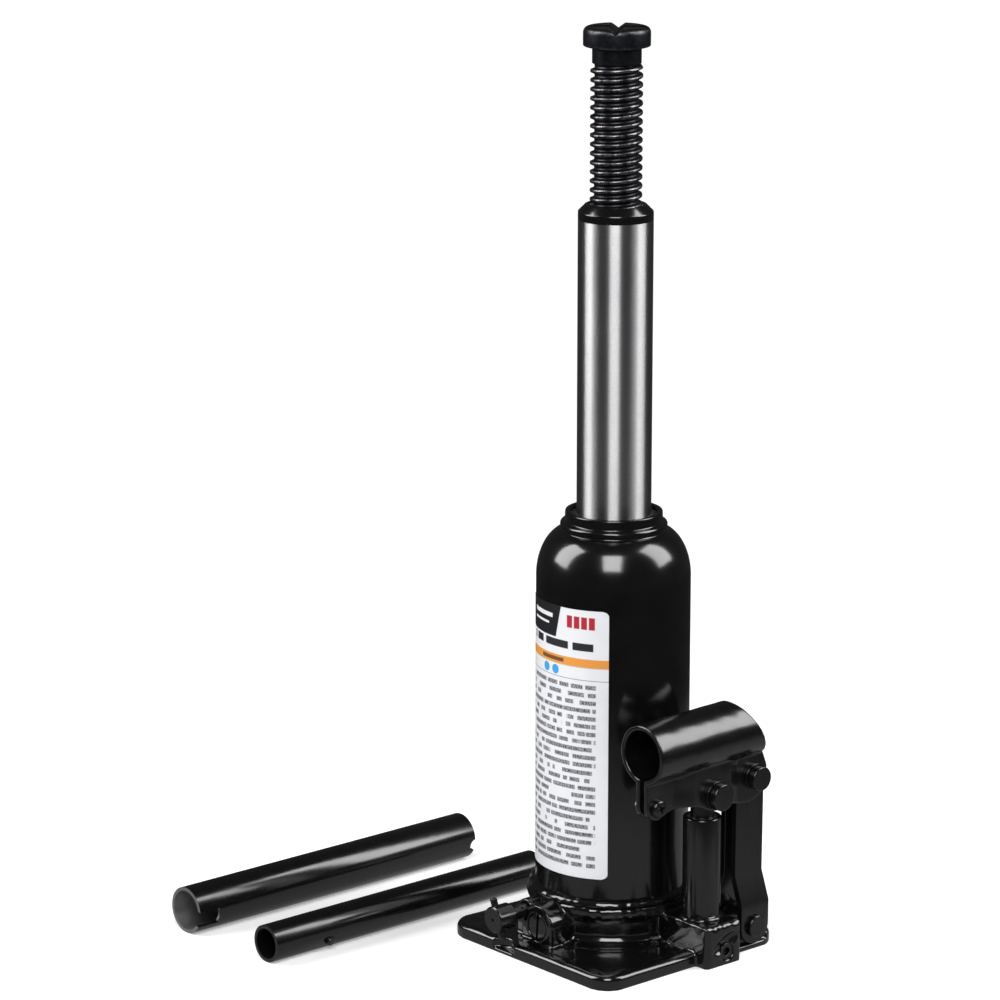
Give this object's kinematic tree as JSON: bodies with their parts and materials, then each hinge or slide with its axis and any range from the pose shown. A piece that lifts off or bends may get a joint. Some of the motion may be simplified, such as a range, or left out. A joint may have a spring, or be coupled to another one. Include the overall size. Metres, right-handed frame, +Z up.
{
  "type": "hydraulic bottle jack",
  "caption": "Short hydraulic bottle jack with a square foot, side pump with handle socket and link, ram with screw-out extension, release valve and a loose two-part pump handle.",
  "frame": {"origin": "on the floor under the axis of the ram, at the underside of the base", "axes": "+Z up along the ram; X along the handle socket, whose mouth faces -X; the hand pump stands at -Y"},
  "size_m": [0.1821, 0.1885, 0.385],
  "materials": {
    "gloss_black_paint": "thick gloss black enamel",
    "satin_black": "satin black coat",
    "black_oxide": "blackened steel with an oil sheen",
    "ground_steel": "ground and polished steel",
    "plain_steel": "turned steel",
    "spring_steel": "drawn wire",
    "copper": "soft copper sealing ring",
    "rubber": "oil-resistant rubber",
    "seal_plastic": "pressed seal material",
    "label_film": "printed white film"
  },
  "bodies": {
    "jack_body": {"base": "gloss_black_paint", "reservoir_tank": "gloss_black_paint", "top_nut": "gloss_black_paint", "ram_wiper": "rubber", "rod_seal": "rubber", "pressure_cylinder": "plain_steel", "cylinder_gasket": "copper", "pump_cylinder": "gloss_black_paint", "pump_gasket": "copper", "plunger_seal": "seal_plastic", "gland_ring": "plain_steel", "delivery_seat": "plain_steel", "delivery_spring": "spring_steel", "pump_block_plug": "satin_black", "lower_link_pin": "satin_black", "lower_pin_clip": "spring_steel", "valve_packing": "rubber", "overload_plug": "satin_black", "overload_spring": "spring_steel", "label": "label_film"},
    "ram_body": {"ram": "ground_steel", "ram_piston": "plain_steel", "piston_cup_seal": "seal_plastic", "piston_backup_ring": "seal_plastic"},
    "screw_stop": {"screw_stop_washer": "plain_steel"},
    "screw_body": {"extension_screw": "black_oxide", "screw_stop_clip": "spring_steel"},
    "plunger_body": {"pump_plunger": "plain_steel"},
    "link_body": {"link_front": "satin_black", "link_rear": "satin_black"},
    "socket_body": {"handle_socket": "gloss_black_paint", "plunger_pin": "satin_black", "upper_link_pin": "satin_black", "pin_washers": "satin_black", "pin_clips": "spring_steel", "clamp_screw": "satin_black", "clamp_nut": "satin_black"},
    "release_ball_body": {"release_ball": "plain_steel"},
    "release_valve_body": {"release_valve": "satin_black", "valve_cross_pin": "satin_black"},
    "suction_ball_body": {"suction_ball": "plain_steel"},
    "delivery_ball_body": {"delivery_ball": "plain_steel"},
    "overload_ball_body": {"overload_ball": "plain_steel"},
    "filler_body": {"oil_filler_plug": "rubber"},
    "handle_large_body": {"handle_large_tube": "gloss_black_paint"},
    "handle_small_body": {"handle_small_tube": "gloss_black_paint", "handle_rivet": "satin_black"}
  },
  "joints": [
    {"name": "ram_lift", "type": "slide", "parent": "jack_body", "child": "ram_body", "axis": [0, 0, 1], "range_m": [-0.125, 0]},
    {"name": "screw_travel", "type": "slide", "parent": "ram_body", "child": "screw_stop", "axis": [0, 0, 1], "range_m": [-0.0601, 0]},
    {"name": "screw_turn", "type": "hinge", "parent": "screw_stop", "child": "screw_body", "pos_m": [0, 0, 0.33], "axis": [0, 0, 1], "range_deg": [-5760, 0]},
    {"name": "link_swing", "type": "hinge", "parent": "jack_body", "child": "link_body", "pos_m": [0.029, -0.0482, 0.011], "axis": [0, 1, 0], "range_deg": [-1.8, 0]},
    {"name": "socket_pump", "type": "hinge", "parent": "link_body", "child": "socket_body", "pos_m": [0.0295, -0.0482, 0.0755], "axis": [0, 1, 0], "range_deg": [0, 38]},
    {"name": "plunger_stroke", "type": "slide", "parent": "jack_body", "child": "plunger_body", "axis": [0, 0, 1], "range_m": [0, 0.01445]},
    {"name": "valve_travel", "type": "slide", "parent": "jack_body", "child": "release_ball_body", "axis": [-1, 0, 0], "range_m": [0, 0.0019]},
    {"name": "valve_turn", "type": "hinge", "parent": "release_ball_body", "child": "release_valve_body", "pos_m": [-0.05, 0.0075, 0.0166], "axis": [-1, 0, 0], "range_deg": [0, 540]},
    {"name": "suction_ball_lift", "type": "slide", "parent": "jack_body", "child": "suction_ball_body", "axis": [0, 0, 1], "range_m": [0, 0.0006]},
    {"name": "delivery_ball_lift", "type": "slide", "parent": "jack_body", "child": "delivery_ball_body", "axis": [0, 1, 0], "range_m": [0, 0.0005]},
    {"name": "overload_ball_lift", "type": "slide", "parent": "jack_body", "child": "overload_ball_body", "axis": [-1, 0, 0], "range_m": [0, 0.0005]},
    {"name": "filler_plug_pull", "type": "slide", "parent": "jack_body", "child": "filler_body", "axis": [0.7071, 0.7071, 0], "range_m": [0, 0.03]},
    {"name": "handle_large_lift", "type": "slide", "parent": "jack_body", "child": "handle_large_body", "axis": [0, 0, 1], "range_m": [0, 0.15]},
    {"name": "handle_small_lift", "type": "slide", "parent": "jack_body", "child": "handle_small_body", "axis": [0, 0, 1], "range_m": [0, 0.15]}
  ],
  "couplings": [
    {"joint": "screw_travel", "follows": "screw_turn", "m_per_rad": 0.00059683},
    {"joint": "link_swing", "follows": "socket_pump", "ratio": -0.045},
    {"joint": "plunger_stroke", "follows": "socket_pump", "m_per_rad": 0.02161},
    {"joint": "valve_travel", "follows": "valve_turn", "m_per_rad": 0.00019894}
  ]
}
